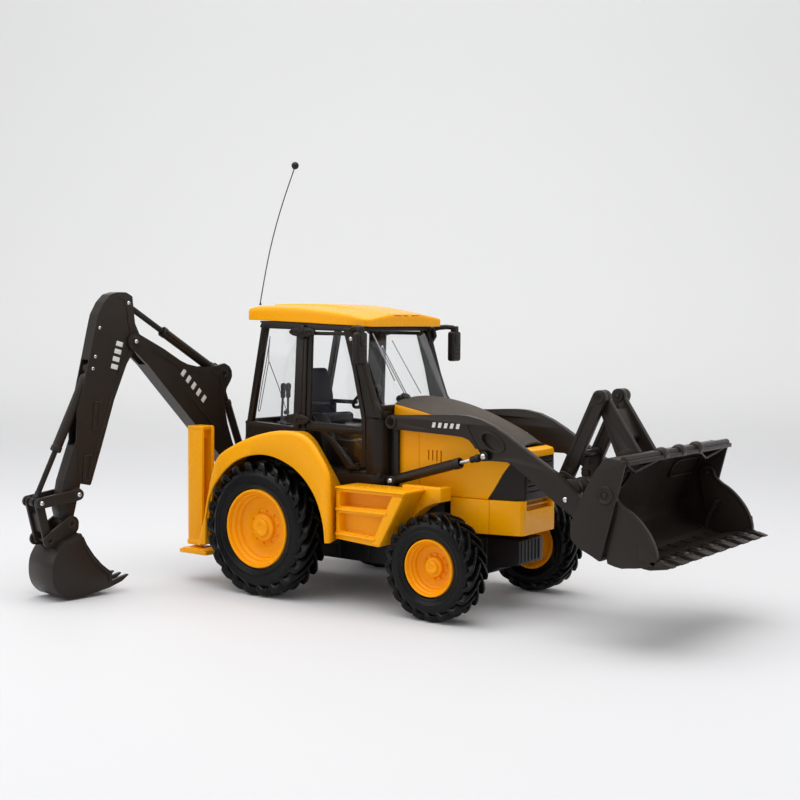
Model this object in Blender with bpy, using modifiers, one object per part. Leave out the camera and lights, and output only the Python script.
"""Toy backhoe loader, about 1:16, as separate pieces hung on their joints.

Design frame, in millimetres: X forward, Y to the machine's left, Z up, with the
rear axle above x = 0 and the ground at z = 0.  The world origin is the middle of
the flat belly face, so everything hangs from one datum empty shifted to suit.
The backhoe is drawn straight out along its own X from the swing axis, and the
swing empty turns it to the parked angle.  A pivot given as two numbers is (x, z).
"""
import math

import bmesh
import bpy
from mathutils import Matrix, Vector

MM = 0.001
SIDES = {-1: "right", 1: "left"}       # sign of y on each side

# ---- driving dimensions -------------------------------------------------------
BELLY_X, BELLY_Z = 32.0, 20.0          # middle of the belly face
REAR_R, REAR_W, REAR_Y = 44.5, 24.0, 64.8        # tyre radius, width, centre
FRONT_R, FRONT_W, FRONT_Y = 32.6, 19.4, 59.2
REAR_RIM, FRONT_RIM = 26.4, 18.0
WHEELBASE = 132.4
KING_Y = 44.0                          # king pin of the front axle
CAB_HALF = 42.0
ROOF_HALF = 42.6

# loader
ARM_IN, ARM_OUT = 32.8, 37.6           # inner and outer face of an arm plate
LIFT_Y = 36.6                          # lift cylinder centre line
ARM_PIVOT = (81.7, 116.7)
LIFT_BASE = (82.0, 78.8)
LIFT_ROD = (152.3, 99.3)
BUCKET_HINGE = (221.5, 70.5)
LEVER_FOOT = (196.5, 88.0)
LEVER_TOP = (218.6, 137.0)
LINK_FOOT = (238.0, 98.0)
CLAM_PIVOT = (251.8, 87.4)
BUCKET_HALF = 71.0
CLAM_HALF = 68.7
CLAM_TEETH = 8

# backhoe: SWING_X in the design frame, the pivots in the hoe's own frame
SWING_X = -76.0
SWING_DEG = -98.0                      # parked direction of the hoe
BOOM_FOOT = (17.0, 73.0)
BOOM_CYL_BASE = (3.5, 77.0)
HUMP_PIN = (27.5, 142.5)
ELBOW = (102.4, 166.0)
DIPPER_TOP = (106.7, 191.7)
CURL_BASE = (134.4, 148.5)
ROCKER_PIVOT = (148.4, 67.1)
ROCKER_END = (175.7, 63.9)
LINK_PIN = (169.9, 39.1)
HOE_BUCKET_PIVOT = (153.6, 48.7)
HOE_BUCKET_HALF = 14.5
COLUMN_IN, COLUMN_OUT = 52.0, 64.0     # stabiliser column, inner and outer face
COLUMN_WALL = 2.0

# pin and hole radii
PIVOT_PIN, PIVOT_HOLE = 1.8, 2.2
ELBOW_PIN, ELBOW_HOLE = 2.0, 2.4
LEVER_PIN, LEVER_HOLE = 1.5, 1.9
CYL_PIN = 1.4
CYL_PIN_PLAY = 0.4                     # hole radius less pin radius
CYL_EYE_HALF = 2.6                     # half width of a barrel's eye

# look: (base colour, roughness, metallic, alpha)
LOOKS = {
    "yellow": ((0.90, 0.42, 0.01), 0.32, 0.0, 1.0),
    "dark": ((0.045, 0.038, 0.033), 0.45, 0.0, 1.0),
    "cab": ((0.035, 0.030, 0.027), 0.40, 0.0, 1.0),
    "black": ((0.02, 0.02, 0.022), 0.5, 0.0, 1.0),
    "tyre": ((0.012, 0.012, 0.013), 0.75, 0.0, 1.0),
    "steel": ((0.55, 0.55, 0.56), 0.3, 1.0, 1.0),
    "glass": ((0.9, 0.93, 0.95), 0.05, 0.0, 0.25),
    "seat": ((0.03, 0.027, 0.045), 0.6, 0.0, 1.0),
    "battery": ((0.05, 0.12, 0.3), 0.5, 0.0, 1.0),
}

for old in list(bpy.data.objects):
    bpy.data.objects.remove(old, do_unlink=True)

parts = bpy.data.collections.new("toy_backhoe_loader")
bpy.context.scene.collection.children.link(parts)


# ---- meshes and booleans --------------------------------------------------------
def tidy(mesh):
    """Weld coincident vertices and point the normals outward."""
    bm = bmesh.new()
    bm.from_mesh(mesh)
    bmesh.ops.remove_doubles(bm, verts=bm.verts, dist=2e-6)
    bmesh.ops.recalc_face_normals(bm, faces=bm.faces)
    bm.to_mesh(mesh)
    bm.free()


def add_object(data):
    obj = bpy.data.objects.new("piece", data)
    parts.objects.link(obj)
    return obj


def bmesh_object(bm):
    mesh = bpy.data.meshes.new("piece")
    bm.to_mesh(mesh)
    bm.free()
    return add_object(mesh)


def evaluated_mesh(obj):
    bpy.context.view_layer.update()
    graph = bpy.context.evaluated_depsgraph_get()
    return bpy.data.meshes.new_from_object(obj.evaluated_get(graph))


def bake(obj):
    """Replace the mesh by its modified form and drop the modifiers."""
    mesh = evaluated_mesh(obj)
    old_mesh = obj.data
    obj.modifiers.clear()
    obj.data = mesh
    bpy.data.meshes.remove(old_mesh)


def combine(obj, others, operation):
    for other in others:
        step = obj.modifiers.new(operation.lower(), "BOOLEAN")
        step.operation = operation
        step.solver = "EXACT"
        step.object = other
        bake(obj)
        bpy.data.objects.remove(other, do_unlink=True)
    tidy(obj.data)


def join(obj, *others):
    combine(obj, others, "UNION")


def cut(obj, *others):
    combine(obj, others, "DIFFERENCE")


def keep_inside(obj, other):
    combine(obj, [other], "INTERSECT")


# ---- shapes -----------------------------------------------------------------------
def xyz(point, y=0.0):
    """Point in space from an (x, z) pair."""
    return (point[0], y, point[1])


def span(side, inner, outer):
    """Low and high y of a slab given by its distances from the middle plane."""
    return sorted((side * inner, side * outer))


def box(x0, x1, y0, y1, z0, z1):
    bm = bmesh.new()
    bmesh.ops.create_cube(bm, size=1.0)
    bmesh.ops.scale(bm, vec=((x1 - x0) * MM, (y1 - y0) * MM, (z1 - z0) * MM), verts=bm.verts)
    middle = ((x0 + x1) / 2 * MM, (y0 + y1) / 2 * MM, (z0 + z1) / 2 * MM)
    bmesh.ops.translate(bm, vec=middle, verts=bm.verts)
    obj = bmesh_object(bm)
    tidy(obj.data)
    return obj


def side_box(side, x0, x1, inner, outer, z0, z1):
    return box(x0, x1, *span(side, inner, outer), z0, z1)


def rod(start, end, radius, steps=12):
    """Cylinder between two points."""
    start, end = Vector(start), Vector(end)
    along = end - start
    bm = bmesh.new()
    bmesh.ops.create_cone(bm, cap_ends=True, segments=steps, radius1=radius * MM,
                          radius2=radius * MM, depth=along.length * MM)
    turn = Vector((0, 0, 1)).rotation_difference(along.normalized()).to_matrix().to_4x4()
    bm.transform(Matrix.Translation((start + end) / 2 * MM) @ turn)
    obj = bmesh_object(bm)
    tidy(obj.data)
    return obj


def y_rod(point, y0, y1, radius, steps=12):
    """Cylinder along Y through an (x, z) point."""
    return rod(xyz(point, y0), xyz(point, y1), radius, steps)


def cross_rod(point, half, radius, steps=12):
    """Cylinder along Y, centred on the middle plane."""
    return y_rod(point, -half, half, radius, steps)


def curve_piece(curve, matrix):
    guide = add_object(curve)
    guide.matrix_world = matrix
    mesh = evaluated_mesh(guide)
    mesh.transform(guide.matrix_world)
    bpy.data.objects.remove(guide, do_unlink=True)
    tidy(mesh)
    return add_object(mesh)


def slab(outline, thickness, matrix):
    """Filled closed curve, extruded evenly to both sides."""
    curve = bpy.data.curves.new("outline", "CURVE")
    curve.dimensions = "2D"
    curve.fill_mode = "BOTH"
    curve.extrude = thickness / 2 * MM
    spline = curve.splines.new("POLY")
    spline.points.add(len(outline) - 1)
    for point, (across, up) in zip(spline.points, outline):
        point.co = (across * MM, up * MM, 0.0, 1.0)
    spline.use_cyclic_u = True
    return curve_piece(curve, matrix)


def plate(outline, y0, y1):
    """Upright slab with an (x, z) outline, between two y values."""
    stand_up = Matrix.Rotation(math.radians(90), 4, "X")
    return slab(outline, y1 - y0, Matrix.Translation((0, (y0 + y1) / 2 * MM, 0)) @ stand_up)


def wide_plate(outline, half):
    return plate(outline, -half, half)


def side_plate(side, outline, inner, outer):
    return plate(outline, *span(side, inner, outer))


def plan_plate(outline, z0, z1):
    """Level slab with an (x, y) outline, between two heights."""
    return slab(outline, z1 - z0, Matrix.Translation((0, 0, (z0 + z1) / 2 * MM)))


def both_halves(right_half):
    """Whole (x, y) plan from its right half, listed rear to front."""
    return right_half + [(x, -y) for x, y in reversed(right_half)]


def turned(profile, steps, centre, axis):
    """Closed profile of (radius, height) points swept once round an axis."""
    bm = bmesh.new()
    verts = [bm.verts.new((radius * MM, 0, height * MM)) for radius, height in profile]
    for i in range(len(verts)):
        bm.edges.new((verts[i], verts[(i + 1) % len(verts)]))
    obj = bmesh_object(bm)
    screw = obj.modifiers.new("turn", "SCREW")
    screw.axis = "Z"
    screw.steps = screw.render_steps = steps
    screw.use_merge_vertices = True
    screw.merge_threshold = 1e-6
    bake(obj)
    turn = Vector((0, 0, 1)).rotation_difference(Vector(axis)).to_matrix().to_4x4()
    obj.data.transform(Matrix.Translation(Vector(centre) * MM) @ turn)
    tidy(obj.data)
    return obj


def arc(centre, radius, start, end, steps):
    """Points along an arc, angles in degrees."""
    angles = [math.radians(start + (end - start) * i / steps) for i in range(steps + 1)]
    return [(centre[0] + radius * math.cos(angle), centre[1] + radius * math.sin(angle))
            for angle in angles]


def bar(start, start_radius, end, end_radius):
    """Outline drawn round two circles, for a link bar."""
    dx, dz = end[0] - start[0], end[1] - start[1]
    base = math.degrees(math.atan2(dz, dx))
    slope = (start_radius - end_radius) / math.hypot(dx, dz)
    lean = math.degrees(math.acos(max(-1.0, min(1.0, slope))))
    return (arc(start, start_radius, base + lean, base + 360 - lean, 8)
            + arc(end, end_radius, base - lean, base + lean, 8))


def mirrored(source):
    """Copy on the other side of the machine's middle plane."""
    mesh = source.data.copy()
    mesh.transform(Matrix.Scale(-1, 4, (0, 1, 0)))
    mesh.flip_normals()
    tidy(mesh)
    return add_object(mesh)


# ---- joints, and hanging pieces on them ---------------------------------------------
drawn_at = {}                          # joint name -> its place in the frame it is drawn in


def joint(name, parent, at, origin=None, turn_z=0.0):
    """Empty at a point of its parent's drawing frame.

    origin, when given, is the same point in the drawing frame of its children.
    """
    obj = add_object(None)
    obj.name = name
    obj.empty_display_size = 0.01
    obj.parent = parent
    parent_at = drawn_at[parent.name] if parent else Vector((0, 0, 0))
    obj.location = (Vector(at) - parent_at) * MM
    obj.rotation_euler = (0, 0, math.radians(turn_z))
    drawn_at[name] = Vector(at if origin is None else origin)
    return obj


def material(name, look):
    colour, roughness, metallic, alpha = LOOKS[look]
    mat = bpy.data.materials.new(name)
    mat.use_nodes = True
    inputs = mat.node_tree.nodes["Principled BSDF"].inputs
    inputs["Base Color"].default_value = (*colour, 1.0)
    inputs["Roughness"].default_value = roughness
    inputs["Metallic"].default_value = metallic
    inputs["Alpha"].default_value = alpha
    return mat


def hang(obj, name, parent, look):
    """Name a finished shape, move its origin to a joint and paint it."""
    obj.name = obj.data.name = name
    obj.data.transform(Matrix.Translation(-drawn_at[parent.name] * MM))
    obj.parent = parent
    obj.data.materials.clear()
    obj.data.materials.append(material(name + "_material", look))


datum = joint("machine_datum", None, (-BELLY_X, 0, -BELLY_Z), origin=(0, 0, 0))


def fix(obj, name, look):
    hang(obj, name, datum, look)


def fix_pair(right_piece, stem, look):
    """Fix a right-hand piece and its mirror image."""
    fix(right_piece, stem + "_right", look)
    fix(mirrored(right_piece), stem + "_left", look)


def cylinder(stem, base_joint, base, top_joint, top, *, barrel_length, barrel_radius, bore,
             rod_length, rod_radius, y=0.0, neck=2.5, rod_eye_half=2.4, fork=False,
             rod_look="dark"):
    """Hydraulic barrel bored from its mouth, and the rod that runs in it."""
    foot, head = Vector(xyz(base, y)), Vector(xyz(top, y))
    along = (head - foot).normalized()
    hole = CYL_PIN + CYL_PIN_PLAY

    barrel = rod(foot + along * neck, foot + along * barrel_length, barrel_radius, 16)
    join(barrel, y_rod(base, y - CYL_EYE_HALF, y + CYL_EYE_HALF, barrel_radius + 0.2, 16))
    cut(barrel,
        rod(foot + along * (barrel_radius + 2.4), foot + along * (barrel_length + 4), bore, 16),
        y_rod(base, y - 9, y + 9, hole))

    rod_end = 5.9 if fork else 1.5     # short of the head pin
    piston = rod(head - along * rod_length, head - along * rod_end, rod_radius)
    if fork:  # yoke that straddles the neighbouring barrel's eye on the same pin
        yoke_in, yoke_out = 2.95, 3.9
        bridge = head - along * 6.6
        bridge = (bridge.x, bridge.z)
        join(piston, y_rod(bridge, y - yoke_out, y + yoke_out, 1.7))
        for side in SIDES:
            y0, y1 = sorted((y + side * yoke_in, y + side * yoke_out))
            join(piston, plate(bar(bridge, 1.9, top, 2.9), y0, y1))
    else:
        join(piston, y_rod(top, y - rod_eye_half, y + rod_eye_half, 3.0, 14))
    cut(piston, y_rod(top, y - 9, y + 9, hole))

    hang(barrel, stem + "_barrel", joint(stem + "_barrel_axis", base_joint, xyz(base, y)), "dark")
    hang(piston, stem + "_rod", joint(stem + "_rod_axis", top_joint, xyz(top, y)), rod_look)


# ==== chassis ========================================================================
chassis = box(-52, 164, -20, 20, 20, 46)
cut(chassis,
    box(-49, 121, -17, 17, 23, 60),                                # open tray
    box(-9.5, 9.5, -30, 30, 35, 60),                               # rear axle gap
    box(116.0, 140, -30, 30, 10, 41.6),                            # front axle arch
    *[side_box(side, 140, 180, 14, 30, 10, 60) for side in SIDES],  # narrow front end
    box(150, 180, -30, 30, 10, 30))                                # raised front tip
for side in SIDES:
    join(chassis,                                                  # loader tower and its foot
         side_box(side, 77.7, 83.6, 29.8, 32.3, 38, 121),
         side_box(side, 77.7, 83.6, 18.5, 32.3, 38, 45))
    join(chassis,
         y_rod(ARM_PIVOT, side * 31, side * 38.2, 2.0),
         y_rod(LIFT_BASE, side * 31, side * 39.2, CYL_PIN))
fix(chassis, "chassis_frame", "black")

drive = box(-15, 15, -16.4, 16.4, 23.6, 57)
cut(drive, box(-20, -9, -20, 20, 50, 60), box(9, 20, -20, 20, 50, 60))
join(drive,                                                        # axle tube and shaft
     cross_rod((0, REAR_R), 51.5, 7.5, 16),
     cross_rod((0, REAR_R), 69.5, 2.8))
fix(drive, "drive_unit", "black")

fix(box(22, 76, -16, 16, 23.5, 43), "battery_pack", "battery")

# ==== front axle and steering ========================================================
axle = box(127.5, 137.3, -39.5, 39.5, 27, 38.4)
for side in SIDES:                     # upper and lower jaw round the knuckle
    join(axle,
         side_box(side, 127.8, 137.0, 35.5, 47.6, 37.9, 41.2),
         side_box(side, 127.8, 137.0, 35.5, 47.6, 24.0, 27.3))
fix(axle, "front_axle_beam", "black")

steer_joints = {}
for side, tag in SIDES.items():
    king_y = side * KING_Y
    knuckle = rod((WHEELBASE, king_y, 27.8), (WHEELBASE, king_y, 37.4), 3.2)
    join(knuckle,                      # stub axle and rearward steering arm
         y_rod((WHEELBASE, FRONT_R), side * (KING_Y + 1), side * 65.5, 2.4),
         side_box(side, WHEELBASE - 13, WHEELBASE - 1, KING_Y - 2.2, KING_Y + 0.6, 30.2, 33.0))
    steer_joints[side] = joint(f"steer_{tag}_axis", datum, (WHEELBASE, king_y, FRONT_R))
    hang(knuckle, "steering_knuckle_" + tag, steer_joints[side], "black")

TIE_HALF = KING_Y + 0.6
tie = box(WHEELBASE - 13.0, WHEELBASE - 9.8, -TIE_HALF, TIE_HALF, 26.0, 29.7)
tie_joint = joint("tie_rod_axis", steer_joints[-1], (WHEELBASE - 11.4, -(KING_Y - 0.8), 27.8))
hang(tie, "tie_rod", tie_joint, "black")


# ==== wheels =========================================================================
def wheel(end, side, parent, x, y, radius, width, rim_radius):
    """Tyre with a rounded section and a deep-dish rim with a raised hub."""
    tag = f"{end}_{SIDES[side]}"
    scale = radius / REAR_R
    half = width / 2
    centre = (x, side * y, radius)
    outward = (0, side, 0)
    spin = joint(f"wheel_{tag}_axis", parent, centre)

    # (radius, distance outward from the wheel's middle)
    tyre_section = [
        (radius - 3.0 * scale, half), (radius - 0.2, half - 3.2 * scale), (radius, 0),
        (radius - 0.2, -half + 3.2 * scale), (radius - 3.0 * scale, -half),
        (rim_radius + 5 * scale, -half + 0.2), (rim_radius + 0.1, -half + 2.6),
        (rim_radius + 0.1, half - 2.6), (rim_radius + 5 * scale, half - 0.2)]
    hang(turned(tyre_section, 32, centre, outward), "tyre_" + tag, spin, "tyre")

    edge = rim_radius - 0.3
    bore = 3.3 * max(scale, 0.9)
    rim_section = [
        (edge, -half + 3.0), (edge, half - 1.0), (edge - 1.8, half - 1.0),
        (edge - 3.2, half - 5.0), (edge * 0.80, half - 8.2), (edge * 0.60, half - 8.8),
        (edge * 0.56, half - 5.2), (edge * 0.36, half - 5.0), (edge * 0.32, half - 2.4),
        (bore, half - 2.2), (bore, half - 14.0), (edge * 0.45, half - 14.0),
        (edge - 3.4, half - 12.0), (edge - 2.2, -half + 3.0)]
    hang(turned(rim_section, 20, centre, outward), "rim_" + tag, spin, "yellow")


for side in SIDES:
    wheel("rear", side, datum, 0, REAR_Y, REAR_R, REAR_W, REAR_RIM)
    wheel("front", side, steer_joints[side], WHEELBASE, FRONT_Y, FRONT_R, FRONT_W, FRONT_RIM)

# ==== bonnet, nose and bumper ========================================================
# side outlines are (x, z), plans are (x, y)
HOOD_SIDE = [
    (77.7, 71.6), (147, 71.6), (154, 80), (160, 90), (163, 97.9), (170, 98.3), (170, 100.2),
    (166, 100.9), (150, 107.6), (120, 119.8), (105, 123.4), (77.7, 126.8)]
HOOD_PLAN = both_halves([(77.7, -28.9), (120, -28.2), (150, -24.6), (163, -20.6), (170.1, -17.2)])
CORE_SIDE = [
    (70, 60), (144, 60), (144, 71), (151.5, 80.5), (157, 90), (160.5, 99), (149, 105.3),
    (119.5, 117.2), (104.5, 120.9), (79.9, 124), (79.9, 73), (70, 73)]
CORE_PLAN = both_halves([(60, -26.7), (120, -26.0), (149, -22.4), (165, -17.0)])
hood = wide_plate(HOOD_SIDE, 30)
keep_inside(hood, plan_plate(HOOD_PLAN, 60, 140))
core = wide_plate(CORE_SIDE, 31)
keep_inside(core, plan_plate(CORE_PLAN, 50, 140))
cut(hood, core)
fix(hood, "hood_shell", "yellow")

COVER_SIDE = [
    (77.9, 127.2), (105, 123.8), (120, 120.2), (150, 108.0), (164.5, 102.0), (164.5, 103.6),
    (150, 112.4), (135, 119.5), (120, 124.2), (105, 127.6), (90, 130.6), (77.9, 131.6)]
COVER_PLAN = both_halves([(77.9, -28.0), (120, -26.8), (150, -22.8), (164.5, -18.6)])
cover = wide_plate(COVER_SIDE, 30)
keep_inside(cover, plan_plate(COVER_PLAN, 90, 140))
fix(cover, "hood_cover", "dark")

GRILLE_SIDE = [
    (148.6, 71.4), (169.8, 71.4), (169.6, 97.7), (163.6, 97.4), (160.6, 89.7), (154.7, 79.6)]
grille = wide_plate(GRILLE_SIDE, 30)
keep_inside(grille, plan_plate(HOOD_PLAN, 60, 110))
cut(grille, box(140, 166, -14, 14, 60, 94))
fix(grille, "grille_nose", "dark")

BUMPER_PLAN = both_halves([
    (121.8, -28.4), (142, -27.2), (163, -22.4), (168.4, -20.8), (169.9, -18.6)])
bumper = plan_plate(BUMPER_PLAN, 49.8, 71.0)
cut(bumper,
    box(110, 160, -18, 18, 40, 67.5),              # hollow behind the front face
    box(166.5, 180, -15.5, 15.5, 65.2, 80))        # notch in the top front edge
fix(bumper, "front_bumper", "yellow")

# ==== fenders and steps ==============================================================
FENDER_OUTER = [                       # (x, z), over the top from rear to front
    (-55.3, 28.4), (-47.8, 50), (-45, 66), (-38.8, 88), (-30, 94.6), (-20.5, 99.2), (-9, 103.6),
    (2, 107), (11, 109), (20, 109.9), (29, 110), (37, 108.8), (43, 105.8), (47.5, 101.7),
    (54, 94), (60, 86.2), (60, 41)]
FENDER_INNER = [                       # (x, z), back over the tyre
    (56.4, 41), (55.6, 54), (51, 66.5), (43.5, 77.5), (33, 86.4), (20, 92), (5, 93.6),
    (-11, 91.4), (-24, 85), (-34.5, 75.5), (-42, 63.5), (-46.2, 50), (-47.2, 33)]
fix_pair(plate(FENDER_OUTER + FENDER_INNER, -74.4, -43.0), "fender", "yellow")

STEPS_SIDE = [(60.5, 76.6), (114.6, 76.8), (104.5, 58.5), (94.2, 40.8), (60.5, 43.4)]
UPPER_RECESS = [(63, 74.2), (108.2, 74.4), (103.0, 64.6), (63, 64.0)]
LOWER_RECESS = [(63, 60.6), (100.6, 60.8), (93.4, 47.2), (63, 48.4)]
steps = plate(STEPS_SIDE, -68.0, -44.0)
cut(steps,
    plate(UPPER_RECESS, -70, -60.5),
    plate(LOWER_RECESS, -70, -62.5),
    box(62, 95, -60, -45, 30, 62))                 # hollow from below
join(steps, box(96, 131.2, -45.6, -33.2, 58, 79.2))          # inner shoulder
cut(steps,
    y_rod((WHEELBASE, FRONT_R), -72, -30, 37.2, 32),         # front wheel arch
    box(94, 119, -41.4, -32.0, 76.0, 90))                    # lift cylinder clearance
fix_pair(steps, "side_steps", "yellow")

# ==== cab ============================================================================
CAB_BASE_SIDE = [
    (-41.0, 97), (-39.4, 111.2), (14, 108.4), (14, 86.4), (70, 86.4), (70, 108), (77.2, 108),
    (77.2, 80), (60, 80), (56, 62), (-28, 62), (-28, 97)]
GROOVES, GROOVE_PITCH, GROOVE_WIDTH = 9, 4.6, 1.6
cab_base = wide_plate(CAB_BASE_SIDE, CAB_HALF)
cut(cab_base,
    *[side_box(side, 13.6, 66.6, 38.3, 50, 84.6, 120) for side in SIDES],   # door sills
    box(-22, 50, -34, 34, 50, 76))                                          # underside hollow
for side in SIDES:                     # grooves on the flanks of the rear ledge
    for i in range(GROOVES):
        x = -36.0 + GROOVE_PITCH * i
        cut(cab_base, side_box(side, x, x + GROOVE_WIDTH, 41.3, 46, 100.5, 109.2 - 0.05 * i))
fix(cab_base, "cab_base", "cab")

FRAME_HALF = 41.8
TOP_FRAME_SIDE = [(-27.2, 176.9), (-24.4, 180.2), (56, 177.7), (58.5, 174.2), (-27.2, 174.2)]
POSTS = [                              # (x, z) outlines: rear, middle and front post
    [(-38.8, 111.9), (-34.4, 111.7), (-20.6, 178), (-25.2, 178)],
    [(2.2, 109.6), (12.6, 109.1), (15.4, 178), (6.0, 178)],
    [(50.0, 176.5), (57.2, 176.5), (71.5, 127), (77.2, 124), (77.2, 108.6), (67.2, 108.6),
     (66.4, 120)]]
cab_frame = wide_plate(TOP_FRAME_SIDE, FRAME_HALF)
cut(cab_frame, box(-20.5, 50.5, -38.0, 38.0, 160, 190))
for side in SIDES:
    join(cab_frame, *[side_plate(side, post, 38.1, FRAME_HALF) for post in POSTS])
join(cab_frame, box(71.8, 77.2, -41.0, 41.0, 108.6, 125.6))        # front wall
fix(cab_frame, "cab_frame", "cab")

ROOF_SIDE = [
    (-36.0, 181.4), (-38.0, 184), (-37.8, 188.4), (-34.6, 191.0), (-10, 192.2), (25, 191.2),
    (45, 188.6), (60, 184.8), (66, 182.4), (66.8, 179.8), (64.4, 177.9), (56.3, 178.1),
    (-24.6, 180.9)]
roof = wide_plate(ROOF_SIDE, ROOF_HALF)
bevel = roof.modifiers.new("edge", "BEVEL")
bevel.width = 1.6 * MM
bevel.segments = 2
bevel.limit_method = "ANGLE"
bevel.angle_limit = math.radians(60)
bake(roof)
fix(roof, "roof", "yellow")

WINDSHIELD_SIDE = [(75.0, 126.1), (76.4, 126.1), (55.6, 173.8), (54.2, 173.8)]
fix(wide_plate(WINDSHIELD_SIDE, 37.4), "windshield", "glass")

# one shell: the rear pane and the two side panes that join it
GLAZING_OUTER = [(-34.3, 112.3), (12.6, 109.4), (12.6, 173.8), (-21.6, 173.8)]
GLAZING_INNER = [(-33.1, 105), (20, 105), (20, 182), (-18.6, 182)]
glazing = wide_plate(GLAZING_OUTER, 37.7)
cut(glazing, wide_plate(GLAZING_INNER, 36.5))
fix(glazing, "rear_glazing", "glass")

DOOR_SIDE = [
    (16.2, 173.6), (48.6, 173.6), (63.6, 119), (64.2, 86.8), (50.2, 86.8), (40, 100),
    (33, 107.2), (14.2, 107.8)]
DOOR_UPPER_WINDOW = [(19.0, 171.2), (46.4, 171.2), (60.2, 118), (60.4, 113.2), (17.2, 113.8)]
DOOR_LOWER_WINDOW = [(39.8, 107.6), (60.5, 107.2), (61.0, 90.6), (52.0, 90.6)]
door = plate(DOOR_SIDE, -41.4, -39.0)
cut(door, plate(DOOR_UPPER_WINDOW, -50, -30), plate(DOOR_LOWER_WINDOW, -50, -30))
fix_pair(door, "door", "cab")

SEAT_SIDE = [
    (-17.5, 110.5), (10.5, 109.1), (12, 112), (11, 116), (-8.5, 116.5), (-9.8, 128),
    (-12.6, 147.5), (-17.2, 147.5), (-17.8, 128)]
fix(wide_plate(SEAT_SIDE, 13), "seat", "seat")

SHAFT_FOOT = Vector((62, 0, 98))
SHAFT_TOP = Vector((34.6, 0, 127.4))
column = box(57, 69.6, -9, 9, 86.8, 104)
join(column, rod(SHAFT_FOOT, SHAFT_TOP, 2.2))
fix(column, "steering_column", "cab")

RING_RADIUS, RING_SECTION = 10.6, 1.3
SPOKE_LENGTH, SPOKE_RADIUS = 10.4, 0.9
shaft_dir = (SHAFT_TOP - SHAFT_FOOT).normalized()
wheel_centre = SHAFT_TOP + shaft_dir * 2.2
sideways = Vector((0, 1, 0))
third_spoke = shaft_dir.cross(sideways).normalized() * SPOKE_LENGTH
ring_section = [(RING_RADIUS + RING_SECTION * math.cos(math.radians(angle)),
                 RING_SECTION * math.sin(math.radians(angle))) for angle in range(0, 360, 45)]
steering_wheel = turned(ring_section, 24, wheel_centre, shaft_dir)
join(steering_wheel,                   # hub, spoke bar across, single spoke
     rod(wheel_centre - shaft_dir * 1.6, wheel_centre + shaft_dir * 1.6, 3.0),
     rod(wheel_centre - sideways * SPOKE_LENGTH, wheel_centre + sideways * SPOKE_LENGTH,
         SPOKE_RADIUS, 8),
     rod(wheel_centre, wheel_centre + third_spoke, SPOKE_RADIUS, 8))
hang(steering_wheel, "steering_wheel", joint("steering_wheel_axis", datum, wheel_centre), "cab")

mirror = box(66.4, 70.6, -58.4, -48.6, 152.6, 174.0)
cut(mirror, box(60, 67.3, -57.4, -49.6, 154, 172.6))         # recess in the rear face
join(mirror,                                                 # upright stalk and bracket
     box(67.4, 69.8, -54.6, -52.2, 172.5, 177.2),
     box(59.2, 69.8, -54.6, -42.2, 175.0, 177.2))
fix_pair(mirror, "mirror", "cab")

# aerial: a gently bowed wire with a tip ball and a ferrule at its foot
AERIAL_Y = -36.0
AERIAL_POINTS = 7
AERIAL_BOW = 4.0
wire = bpy.data.curves.new("aerial", "CURVE")
wire.dimensions = "3D"
wire.bevel_depth = 0.45 * MM
wire.bevel_resolution = 1
wire.use_fill_caps = True
line = wire.splines.new("POLY")
line.points.add(AERIAL_POINTS - 1)
for i, point in enumerate(line.points):
    part = i / (AERIAL_POINTS - 1)
    bow = AERIAL_BOW * math.sin(math.pi * part)
    point.co = ((-31.6 + 31.0 * part - bow * 0.8) * MM, AERIAL_Y * MM,
                (193.0 + 90.5 * part + bow * 0.3) * MM, 1)
aerial = curve_piece(wire, Matrix())
ball_mesh = bmesh.new()
bmesh.ops.create_uvsphere(ball_mesh, u_segments=12, v_segments=8, radius=2.6 * MM)
bmesh.ops.translate(ball_mesh, vec=(-0.6 * MM, AERIAL_Y * MM, 284.0 * MM),
                    verts=ball_mesh.verts)
ball = bmesh_object(ball_mesh)
tidy(ball.data)
join(aerial, ball, rod((-31.7, AERIAL_Y, 192.35), (-31.2, AERIAL_Y, 195.6), 1.3, 10))
fix(aerial, "antenna", "black")

# ==== loader arms ====================================================================
ARM_SIDE = (
    arc(ARM_PIVOT, 4.3, 270, 95, 7)
    + [(110, 122.3), (131, 123.6), (139, 123.4), (149, 121.6), (158.8, 117.9), (177.1, 107.4),
       (201.5, 92.8), (219.3, 78.6)]
    + arc(BUCKET_HINGE, 5.4, 45, -110, 6)
    + [(203, 74.6), (197.2, 78.9), (178.9, 91.3), (168.4, 97.3), (151.2, 96.6), (147.2, 101.6),
       (142.0, 108.4), (130.2, 110.2)])
arms = plate(ARM_SIDE, -ARM_OUT, -ARM_IN)
cut(arms,
    plate(arc((158.0, 108.0), 6.4, 0, 345, 11), -ARM_OUT - 1, -ARM_OUT + 1.6),   # round recess
    box(143.6, 159.0, -39, -34.5, 90, 104.0),                                    # rod eye slot
    y_rod(ARM_PIVOT, -45, -30, 2.4))
join(arms, y_rod(LIFT_ROD, -34, -39.2, 1.3, 10))
join(arms, mirrored(arms),
     cross_rod((209.5, 83.2), 34, 5.6, 16),
     *[y_rod(BUCKET_HINGE, side * 33.5, side * 28.6, PIVOT_PIN) for side in SIDES])
for side in SIDES:                     # lugs that carry the tilt levers
    join(arms,
         side_plate(side, bar(LEVER_FOOT, 4.0, (208.5, 82.0), 4.4), 17.2, 19.6),
         y_rod(LEVER_FOOT, side * 18.4, side * 11.2, LEVER_PIN))
lift_joint = joint("loader_lift_axis", datum, xyz(ARM_PIVOT))
hang(arms, "loader_arms", lift_joint, "dark")

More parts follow.
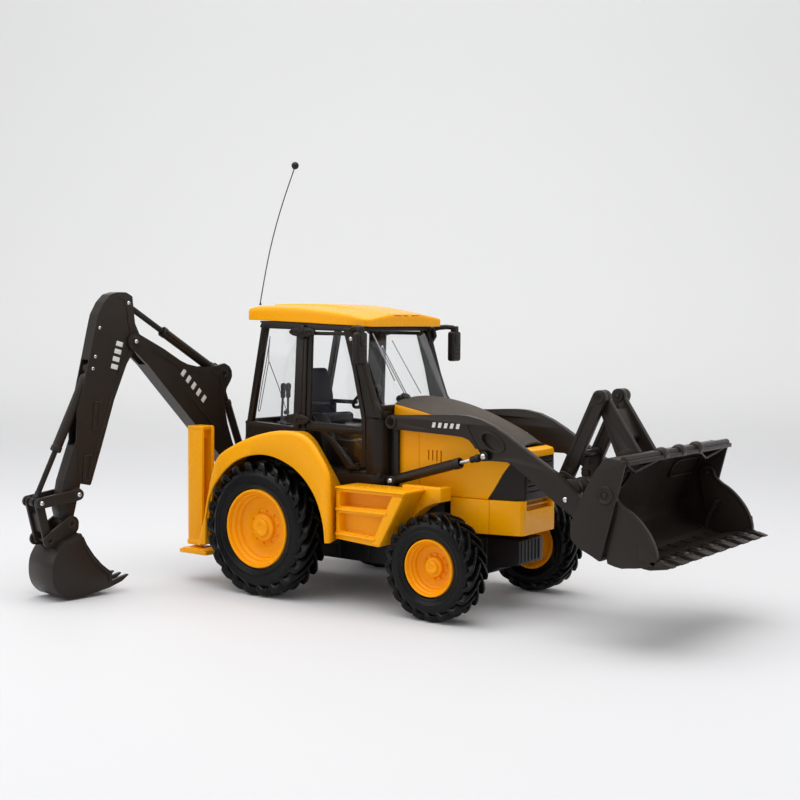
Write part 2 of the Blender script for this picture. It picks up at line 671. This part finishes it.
for side, tag in SIDES.items():
    cylinder("lift_" + tag, datum, LIFT_BASE, lift_joint, LIFT_ROD, y=side * LIFT_Y,
             barrel_length=54.7, barrel_radius=3.1, bore=2.6, rod_length=54.0,
             rod_radius=1.15, rod_eye_half=1.5, rod_look="steel")

LEVER_SIDE = bar(LEVER_FOOT, 4.6, LEVER_TOP, 4.4)
levers = side_plate(-1, LEVER_SIDE, 12.6, 16.6)
join(levers, side_plate(1, LEVER_SIDE, 12.6, 16.6),
     cross_rod((202.6, 101.5), 13.5, 2.4),
     *[y_rod(LEVER_TOP, side * 14, side * 7.6, LEVER_PIN) for side in SIDES])
cut(levers, cross_rod(LEVER_FOOT, 30, LEVER_HOLE))
lever_joint = joint("tilt_levers_axis", lift_joint, xyz(LEVER_FOOT))
hang(levers, "tilt_levers", lever_joint, "dark")

LINK_SIDE = (
    [(LEVER_TOP[0] + 4.3, LEVER_TOP[1] - 1.2), (243.0, 106.0), (241.4, 102.4)]
    + arc(LINK_FOOT, 5.0, 25, -170, 8)
    + [(229.6, 99.6), (228.2, 102.4), (LEVER_TOP[0] - 4.3, LEVER_TOP[1] - 1.2)]
    + arc(LEVER_TOP, 4.4, 180, 0, 8))
links = side_plate(-1, LINK_SIDE, 8.2, 12.2)
join(links, side_plate(1, LINK_SIDE, 8.2, 12.2),
     wide_plate(bar((223.6, 127.5), 2.6, (230.6, 113.4), 3.0), 8.6))
cut(links, cross_rod(LINK_FOOT, 30, 3.4, 16), cross_rod(LEVER_TOP, 30, LEVER_HOLE))
hang(links, "tilt_links", joint("tilt_links_axis", lever_joint, xyz(LEVER_TOP)), "dark")

# ==== loader bucket: rear half with its side plates, and the clam that hinges on it ====
BUCKET_BACK = [                        # (x, z), outer face from top to bottom
    (266.0, 106.6), (252.5, 107.6), (244.2, 98.4), (237.2, 85.0), (231.6, 72.0), (231.4, 61.2),
    (236.6, 57.0), (243.7, 53.6), (249.6, 50.6)]
BUCKET_INSIDE = [                      # (x, z), inner face from bottom to top
    (251.0, 52.8), (245.4, 55.6), (238.6, 59.0), (234.0, 62.6), (234.2, 71.4), (239.4, 83.8),
    (246.3, 96.8), (253.8, 105.2), (266.0, 104.2)]
BUCKET_END = [                         # (x, z) of a side plate
    (252.6, 107.4), (264.6, 106.2), (257.4, 81.4), (250.4, 50.4), (243.9, 53.8), (231.6, 61.4),
    (231.6, 71.6), (237.3, 84.8), (244.4, 98.2)]
bucket = wide_plate(BUCKET_BACK + BUCKET_INSIDE, BUCKET_HALF)
for side in SIDES:
    join(bucket,
         side_plate(side, BUCKET_END, 69.2, BUCKET_HALF),
         y_rod(CLAM_PIVOT, side * 70.5, side * 64.6, 1.6))
    join(bucket, side_plate(side, bar(BUCKET_HINGE, 4.4, (236, 68), 6.5), 29.2, 32.3))
    join(bucket,
         side_plate(side, bar(LINK_FOOT, 3.8, (245.5, 93.5), 5.0), 12.7, 15.6),
         y_rod(LINK_FOOT, side * 14, side * 7.4, 1.2))
join(bucket, cross_rod((262.5, 107.2), 70, 1.9))             # top rail
for y in (-24.0, 0.0, 24.0):                                 # thick bosses on the rail
    join(bucket, y_rod((263.0, 107.0), y - 3, y + 3, 3.6))
cut(bucket, cross_rod(BUCKET_HINGE, 34, PIVOT_HOLE))
tilt_joint = joint("loader_tilt_axis", lift_joint, xyz(BUCKET_HINGE))
hang(bucket, "loader_bucket", tilt_joint, "dark")

CLAM_FLOOR = [
    (252.4, 49.2), (261.2, 47.6), (278, 50.6), (291.0, 51.2), (291.0, 52.2), (278, 53.4),
    (261.4, 50.4), (253.4, 51.8)]
CLAM_CHEEK = arc(CLAM_PIVOT, 5.0, 60, 180, 5) + [
    (247.6, 80), (251.6, 66), (252.0, 52.6), (253.2, 49.6), (261.0, 48.4), (279.6, 51.6),
    (281.4, 56), (280.6, 62), (276.6, 68.4), (270.0, 75.6), (262.6, 81.6), (258.6, 85.4)]
clam = wide_plate(CLAM_FLOOR, 67.6)
for side in SIDES:
    join(clam, side_plate(side, CLAM_CHEEK, 66.4, CLAM_HALF))
cut(clam, cross_rod(CLAM_PIVOT, 80, 2.0))
for i in range(CLAM_TEETH):            # gaps along the cutting edge
    y = -CLAM_HALF + 2 * CLAM_HALF * (i + 0.5) / CLAM_TEETH
    cut(clam, box(286.2, 295, y - 3.6, y + 3.6, 45, 60))
hang(clam, "clam_jaw", joint("clam_axis", tilt_joint, xyz(CLAM_PIVOT)), "dark")

# ==== rear frame and stabilisers =====================================================
rear = box(-67.0, -56.2, -52.5, 52.5, 26, 34)                # lower cross beam
join(rear,
     box(-60, -52.4, -17, 17, 26.4, 33.6),                   # tongue to the chassis
     box(-67.0, -61.8, -52.5, 52.5, 66.5, 73.5),             # upper cross beam
     box(-67.0, -56, -14, 14, 30, 70),                       # middle block
     box(-70, -60, -6, 6, 30.4, 41.4),                       # root of the lower lug
     rod((SWING_X, 0, 35.4), (SWING_X, 0, 41.4), 6.0, 20),   # lower swing lug
     box(SWING_X, -66, -5, 5, 35.4, 41.4),
     rod((SWING_X, 0, 60.6), (SWING_X, 0, 65.2), 6.0, 20),   # upper swing lug
     box(SWING_X, -66, -5, 5, 60.6, 65.2))
for side in SIDES:
    bore_in, bore_out = COLUMN_IN + COLUMN_WALL, COLUMN_OUT - COLUMN_WALL
    join(rear, side_box(side, -73.2, -60.8, COLUMN_IN, COLUMN_OUT, 25.4, 107.6))
    cut(rear,                          # leg bore, and a channel in the forward face
        side_box(side, -71.0, -63.0, bore_in, bore_out, 10, 99),
        side_box(side, -62.4, -55, bore_in, bore_out, 78, 105))
fix(rear, "rear_frame", "yellow")

PAD_SIDE = [(-80, 19.2), (-80, 21.6), (-76, 23.2), (-58, 23.2), (-54, 21.6), (-54, 19.2)]
for side, tag in SIDES.items():
    y = side * (COLUMN_IN + COLUMN_OUT) / 2
    leg = box(-70.6, -63.4, y - 3.6, y + 3.6, 20.5, 84)
    join(leg, plate(PAD_SIDE, y - 8, y + 8))
    leg_joint = joint(f"stabiliser_{tag}_axis", datum, (-67, y, 20))
    hang(leg, "stabiliser_leg_" + tag, leg_joint, "yellow")

# ==== backhoe, drawn in its own frame ================================================
swing_joint = joint("hoe_swing_axis", datum, (SWING_X, 0, 0), origin=(0, 0, 0),
                    turn_z=SWING_DEG)

POST_CHEEK = [
    (7.0, 58), (12.4, 58), (22.8, 67.6), (24.2, 73.4), (22.4, 78.4), (17, 80.4), (8.4, 81.2),
    (3.4, 82.2), (-1.4, 80.6), (-2.0, 76.4), (1.2, 73.4), (7.0, 69.2)]
post = rod((0, 0, 41.9), (0, 0, 60.1), 6.0, 20)
join(post, box(5.0, 12.4, -8.2, 8.2, 42.4, 59.8), box(7.0, 12.4, -8.2, 8.2, 55, 67.0))
for side in SIDES:
    join(post, side_plate(side, POST_CHEEK, 5.7, 8.2))
join(post, cross_rod(BOOM_FOOT, 7, PIVOT_PIN), cross_rod(BOOM_CYL_BASE, 7, CYL_PIN))
hang(post, "swing_post", swing_joint, "dark")

BOOM_SIDE = (
    arc(ELBOW, 5.8, 110, -70, 7)
    + [(77, 133.3), (52.4, 106.9), (30, 83)]
    + arc(BOOM_FOOT, 5.0, 0, -180, 6)
    + [(13.0, 80), (20.4, 94.7), (26.7, 117.4), (25.2, 132.2), (20.2, 140.3), (22.5, 147.6),
       (26.7, 149.9), (34.1, 148.3), (50.9, 148.1), (59.4, 150), (65.1, 152.4)])
BOOM_CHANNEL = [
    (14, 84), (25.0, 92.5), (31.0, 112), (37, 128), (47, 137), (61, 145.4), (89, 162.0),
    (92.0, 158.6), (66, 130.5), (42, 103.5), (26.5, 87.2), (20.5, 84.0), (16, 80)]
HUMP_POCKET = [
    (12, 126), (27.5, 128), (34, 135), (41, 141.5), (46, 146), (46, 166), (12, 166)]
boom = wide_plate(BOOM_SIDE, 6.7)
cut(boom,
    wide_plate(BOOM_CHANNEL, 4.0),
    wide_plate(HUMP_POCKET, 4.4),
    cross_rod(ELBOW, 5.35, 9.4, 24),                              # fork at the elbow
    cross_rod((ELBOW[0] - 5, ELBOW[1] - 9), 4.0, 8.4, 24),
    *[side_box(side, 4, 31, 5.35, 8, 60, 86.0) for side in SIDES],  # thin root
    cross_rod(BOOM_FOOT, 9, PIVOT_HOLE))
join(boom, cross_rod(ELBOW, 6, ELBOW_PIN), cross_rod(HUMP_PIN, 6, CYL_PIN))
boom_joint = joint("boom_axis", swing_joint, xyz(BOOM_FOOT))
hang(boom, "boom", boom_joint, "dark")

# the dipper's wide upper part, with slots for the dipper rod and the curl barrel
DIPPER_SIDE = [
    (104, 196.2), (109, 198.6), (115, 198.6), (120.4, 197), (125.6, 192), (130.4, 184),
    (136, 160.4), (142.3, 134.2), (147, 121), (147.2, 99), (145.4, 73.8), (137, 72),
    (118.4, 127.4), (108.4, 151), (104, 157.4), (99.2, 160.4), (97.0, 165), (97.6, 170),
    (101.6, 178), (103, 190)]
ROD_SLOT = [(90, 185.6), (111.6, 185.6), (111.6, 205), (90, 205)]
BARREL_SLOT = [
    (128.4, 154.4), (152, 154.4), (170, 90), (141.6, 90), (138.6, 112), (129.4, 140)]
dipper = wide_plate(DIPPER_SIDE, 5.0)
cut(dipper,
    wide_plate(ROD_SLOT, 2.9),
    wide_plate(BARREL_SLOT, 3.9),
    cross_rod(ELBOW, 9, ELBOW_HOLE))

# its lower part, down to the bucket pivot
STICK_SIDE = (
    [(134.5, 112), (141.2, 112), (146, 106), (157, 76), (160.4, 58), (158.4, 51)]
    + arc(HOE_BUCKET_PIVOT, 4.8, 10, -170, 6)
    + [(149.8, 53), (144.2, 74.8)])
STICK_SLOT = [(141.6, 118), (138.6, 112), (142.4, 100), (170, 94), (170, 118)]
stick = wide_plate(STICK_SIDE, 4.8)
cut(stick, wide_plate(STICK_SLOT, 3.9))
join(dipper, stick,
     cross_rod(ROCKER_PIVOT, 6.9, 4.4, 16),
     cross_rod(HOE_BUCKET_PIVOT, 6.9, 4.6, 16))
cut(dipper,
    cross_rod(HOE_BUCKET_PIVOT, 9, PIVOT_HOLE),
    cross_rod(ROCKER_PIVOT, 9, PIVOT_HOLE))
join(dipper, cross_rod(DIPPER_TOP, 4.4, CYL_PIN), cross_rod(CURL_BASE, 4.6, CYL_PIN))
dipper_joint = joint("dipper_axis", boom_joint, xyz(ELBOW))
hang(dipper, "dipper", dipper_joint, "dark")

ROCKER_SIDE = bar(ROCKER_PIVOT, 4.2, ROCKER_END, 4.0)
rocker = side_plate(-1, ROCKER_SIDE, 7.2, 9.2)
join(rocker, side_plate(1, ROCKER_SIDE, 7.2, 9.2),
     cross_rod(ROCKER_PIVOT, 8, PIVOT_PIN),
     cross_rod(ROCKER_END, 8, CYL_PIN))
rocker_joint = joint("rocker_axis", dipper_joint, xyz(ROCKER_PIVOT))
hang(rocker, "rocker_link", rocker_joint, "dark")

PUSH_SIDE = bar(ROCKER_END, 3.4, LINK_PIN, 3.2)
push = side_plate(-1, PUSH_SIDE, 4.4, 6.7)
join(push, side_plate(1, PUSH_SIDE, 4.4, 6.7),
     wide_plate(bar((173.9, 56.0), 1.4, (171.4, 45.6), 1.4), 5))
cut(push, cross_rod(ROCKER_END, 9, 1.9))
hang(push, "push_link", joint("push_link_axis", rocker_joint, xyz(ROCKER_END)), "dark")

HOE_BUCKET_SIDE = [
    (150.4, 42.4), (159, 38.8), (163, 37.6), (168.5, 31), (171.6, 22), (171.3, 14), (168.5, 7),
    (163.5, 2.4), (157, 0.9), (140, 2.6), (129, 4.4), (127, 14.6), (135, 20.5), (141, 27),
    (146.5, 35)]
HOE_BUCKET_POCKET = [
    (150.2, 40.6), (158.4, 37.0), (162.0, 36.0), (166.9, 30.2), (169.9, 21.8), (169.6, 14.4),
    (167.1, 8.2), (162.8, 4.1), (157, 2.7), (140.2, 4.4), (129, 6.2), (112, 9), (112, 45),
    (146, 45)]
TOOTH_SIDE = [(134, 3.5), (134, 5.3), (127, 8.2), (114.2, 11.0), (120, 6.6), (128, 4.6)]
EAR_SIDE = (
    arc(HOE_BUCKET_PIVOT, 5.0, 190, 50, 5)
    + arc(LINK_PIN, 4.4, 60, -60, 5)
    + [(165, 34.4), (158, 38.0), (151.5, 41.0), (149.0, 45.0)])
hoe_bucket = wide_plate(HOE_BUCKET_SIDE, HOE_BUCKET_HALF)
cut(hoe_bucket, wide_plate(HOE_BUCKET_POCKET, 12.9))
for y in (-12.6, -4.2, 4.2, 12.6):
    join(hoe_bucket, plate(TOOTH_SIDE, y - 1.4, y + 1.4))
for side in SIDES:
    join(hoe_bucket, side_plate(side, EAR_SIDE, 7.2, 9.2))
join(hoe_bucket, cross_rod(HOE_BUCKET_PIVOT, 8, PIVOT_PIN))
curl_joint = joint("bucket_curl_axis", dipper_joint, xyz(HOE_BUCKET_PIVOT))
hang(hoe_bucket, "hoe_bucket", curl_joint, "dark")

cylinder("boom_cyl", swing_joint, BOOM_CYL_BASE, boom_joint, HUMP_PIN, fork=True,
         barrel_length=48.7, barrel_radius=3.2, bore=2.65, rod_length=46.0, rod_radius=1.35)
cylinder("dipper_cyl", boom_joint, HUMP_PIN, dipper_joint, DIPPER_TOP, neck=3.4,
         barrel_length=57.5, barrel_radius=3.7, bore=3.15, rod_length=60.0, rod_radius=1.3)
cylinder("curl_cyl", dipper_joint, CURL_BASE, rocker_joint, ROCKER_END,
         barrel_length=59.0, barrel_radius=3.5, bore=3.05, rod_length=56.0, rod_radius=1.2)

# smooth shading with creases at the sharp edges
for obj in parts.objects:
    if obj.type == "MESH":
        obj.data.shade_smooth()
        obj.data.set_sharp_from_angle(angle=math.radians(35))
